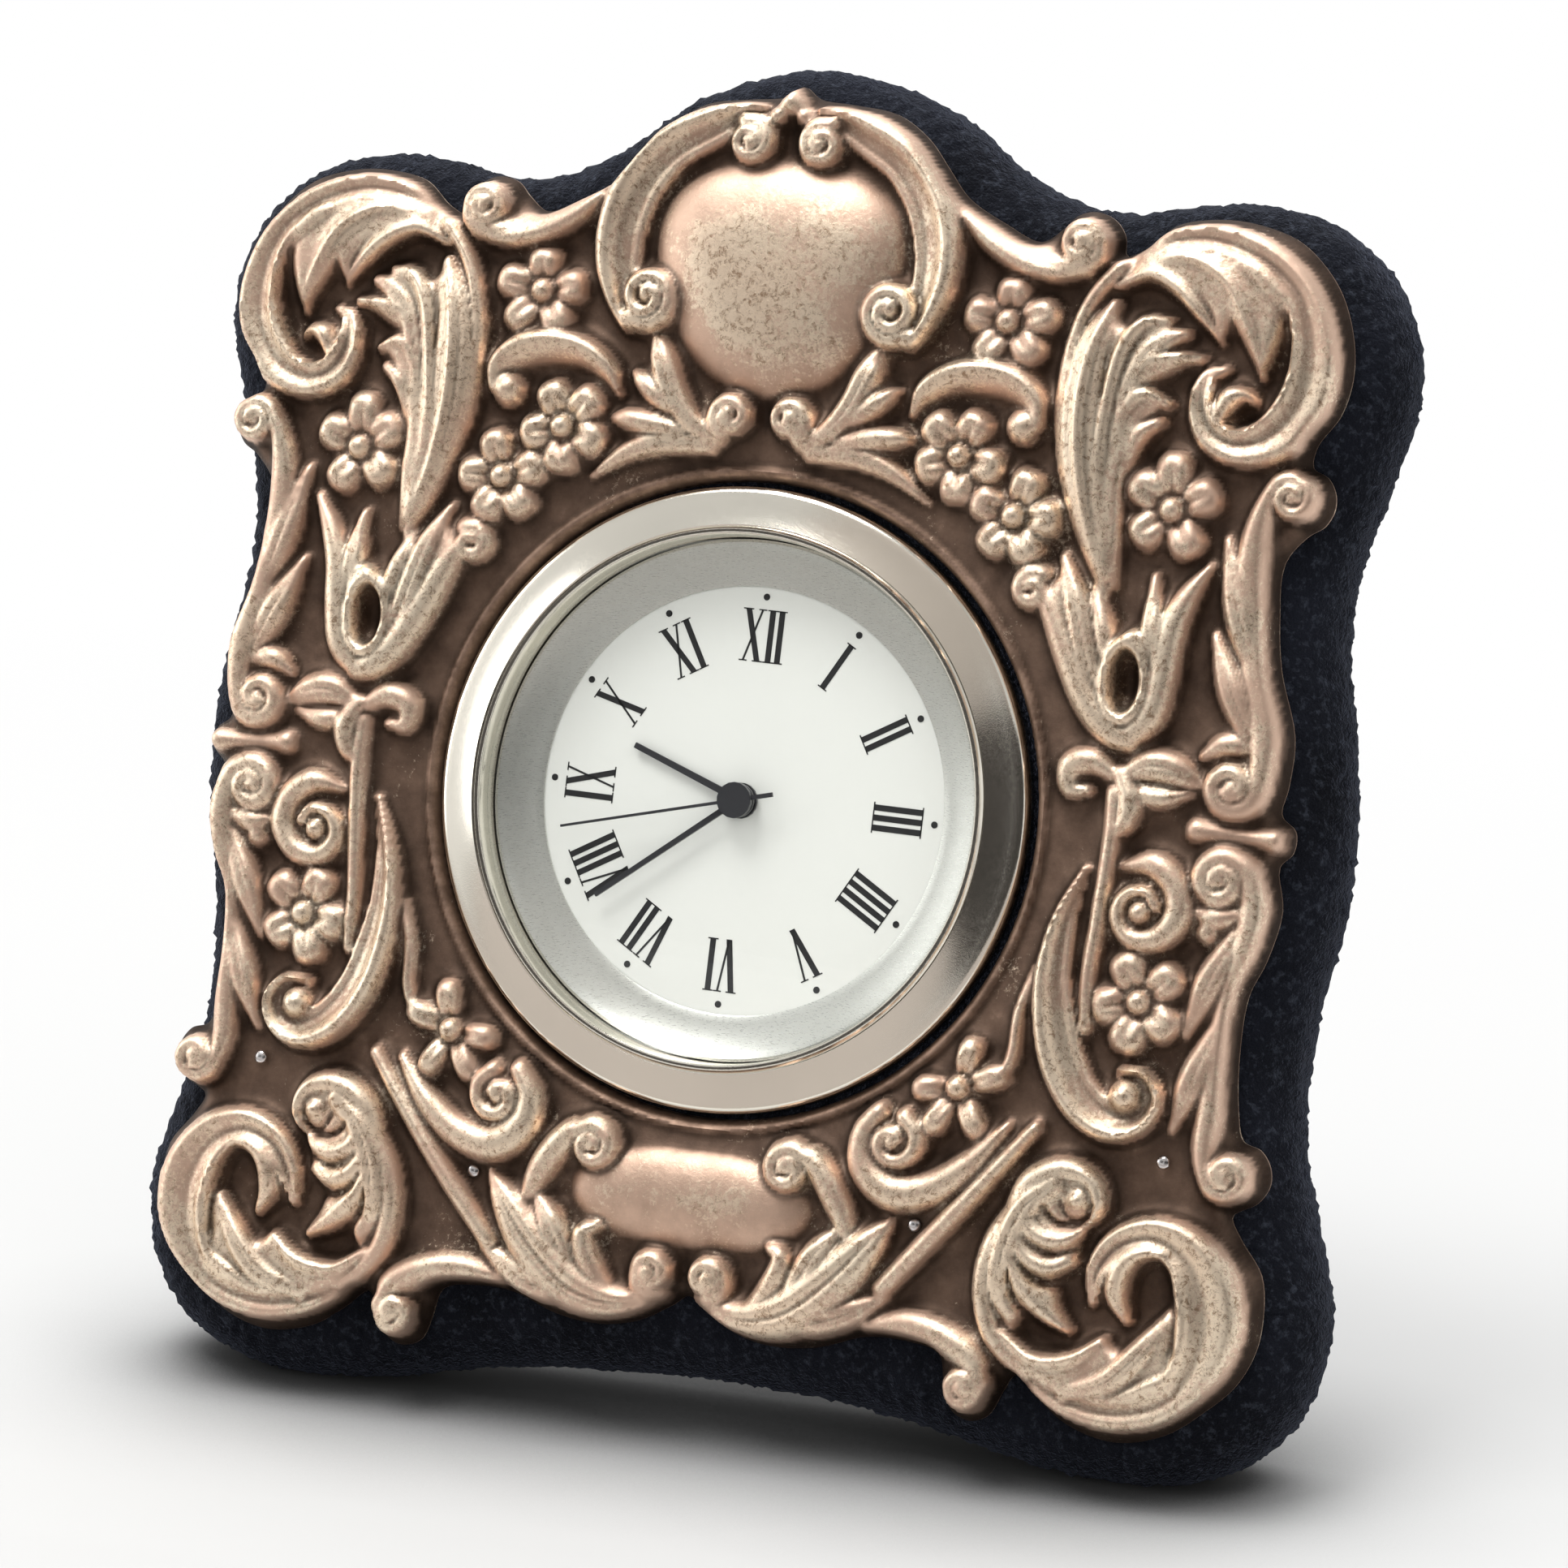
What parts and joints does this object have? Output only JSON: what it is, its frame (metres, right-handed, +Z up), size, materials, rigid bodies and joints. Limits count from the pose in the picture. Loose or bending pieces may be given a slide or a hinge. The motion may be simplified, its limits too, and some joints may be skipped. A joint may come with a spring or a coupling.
{
  "type": "easel clock",
  "caption": "Small easel clock: pressed scroll and flower front on a padded velvet board with a folding strut, holding a push-in round quartz clock with Roman dial.",
  "frame": {"origin": "centre of the bounding box on the surface it stands on", "axes": "+X to the viewer's right, +Y to the back, +Z up; the board leans back by 15 degrees"},
  "size_m": [0.091, 0.0594, 0.0948],
  "materials": {
    "silver": "pressed sheet silver, worn bright on the high parts and toned brown in the hollows",
    "velvet": "short pile velvet, near-black navy",
    "board": "plain sawn board",
    "hinge_brass": "rolled brass, satin",
    "bezel_metal": "polished, champagne silver",
    "crystal": "clear, domed",
    "dial_white": "matt warm white",
    "case_black": "moulded, fine grain",
    "grip_rubber": "soft, pale",
    "hand_dark": "satin dark grey",
    "wheel_plastic": "moulded, natural white",
    "gear_brass": "turned, satin",
    "magnet": "sintered magnet, dark",
    "steel": "stamped",
    "copper": "wound enamelled wire",
    "card_green": "circuit card"
  },
  "bodies": {
    "frame": {"silver_front": "silver", "velvet_wrap": "velvet", "backing_board": "board", "back_panel": "velvet", "hinge_fixed_leaf": "hinge_brass", "hinge_pin": "hinge_brass"},
    "strut": {"strut_core": "board", "strut_cover": "velvet", "strut_lining": "velvet", "hinge_moving_leaf": "hinge_brass"},
    "insert": {"bezel": "bezel_metal", "crystal": "crystal", "reflector_ring": "bezel_metal", "dial": "dial_white", "case_body": "case_black", "grip_ring": "grip_rubber", "case_back": "case_black", "main_plate": "wheel_plastic", "train_bridge": "wheel_plastic", "stator": "steel", "coil_core": "steel", "coil": "copper", "circuit_board": "card_green", "quartz_can": "steel", "button_cell": "steel", "lower_contact": "steel", "side_contact": "steel"},
    "seconds": {"second_hand": "hand_dark", "second_wheel": "wheel_plastic"},
    "minutes": {"minute_hand": "hand_dark", "centre_wheel": "gear_brass"},
    "hours": {"hour_hand": "hand_dark", "hour_wheel": "wheel_plastic"},
    "minute_wheel": {"minute_wheel": "wheel_plastic"},
    "third_wheel": {"third_wheel": "wheel_plastic"},
    "step_wheel": {"step_wheel": "wheel_plastic"},
    "rotor": {"rotor": "magnet"},
    "setting_knob": {"setting_knob": "case_black"},
    "battery_hatch": {"battery_hatch": "case_black"}
  },
  "joints": [
    {"name": "strut_hinge", "type": "hinge", "parent": "frame", "child": "strut", "pos_m": [0, 0.00245, 0.06329], "axis": [-1, 0, 0], "range_deg": [0, 34.5]},
    {"name": "insert_slide", "type": "slide", "parent": "frame", "child": "insert", "axis": [0, -0.9659, 0.2588], "range_m": [0, 0.02]},
    {"name": "second_turn", "type": "hinge", "parent": "insert", "child": "seconds", "pos_m": [0, -0.01614, 0.04498], "axis": [0, 0.9659, -0.2588], "continuous": true},
    {"name": "minute_turn", "type": "hinge", "parent": "insert", "child": "minutes", "pos_m": [0, -0.01614, 0.04498], "axis": [0, 0.9659, -0.2588], "continuous": true},
    {"name": "hour_turn", "type": "hinge", "parent": "insert", "child": "hours", "pos_m": [0, -0.01614, 0.04498], "axis": [0, 0.9659, -0.2588], "continuous": true},
    {"name": "minute_wheel_turn", "type": "hinge", "parent": "insert", "child": "minute_wheel", "pos_m": [0.0025, -0.01726, 0.04079], "axis": [0, 0.9659, -0.2588], "continuous": true},
    {"name": "third_wheel_turn", "type": "hinge", "parent": "insert", "child": "third_wheel", "pos_m": [-0.00507, -0.01662, 0.04319], "axis": [0, 0.9659, -0.2588], "continuous": true},
    {"name": "step_wheel_turn", "type": "hinge", "parent": "insert", "child": "step_wheel", "pos_m": [0.0028, -0.01489, 0.04966], "axis": [0, 0.9659, -0.2588], "continuous": true},
    {"name": "rotor_turn", "type": "hinge", "parent": "insert", "child": "rotor", "pos_m": [0.00347, -0.01391, 0.05331], "axis": [0, 0.9659, -0.2588], "continuous": true},
    {"name": "setting_turn", "type": "hinge", "parent": "insert", "child": "setting_knob", "pos_m": [0, -0.01839, 0.03661], "axis": [0, 0.9659, -0.2588], "continuous": true},
    {"name": "hatch_twist", "type": "hinge", "parent": "insert", "child": "battery_hatch", "pos_m": [0.0074, -0.01847, 0.03628], "axis": [0, 0.9659, -0.2588], "range_deg": [0, 60]}
  ],
  "couplings": [
    {"joint": "minute_turn", "follows": "second_turn", "ratio": 0.016667},
    {"joint": "hour_turn", "follows": "second_turn", "ratio": 0.0013889},
    {"joint": "minute_wheel_turn", "follows": "second_turn", "ratio": -0.0055556},
    {"joint": "third_wheel_turn", "follows": "second_turn", "ratio": -0.13333},
    {"joint": "step_wheel_turn", "follows": "second_turn", "ratio": -6},
    {"joint": "rotor_turn", "follows": "second_turn", "ratio": 30},
    {"joint": "setting_turn", "follows": "second_turn", "ratio": 0.016667}
  ]
}
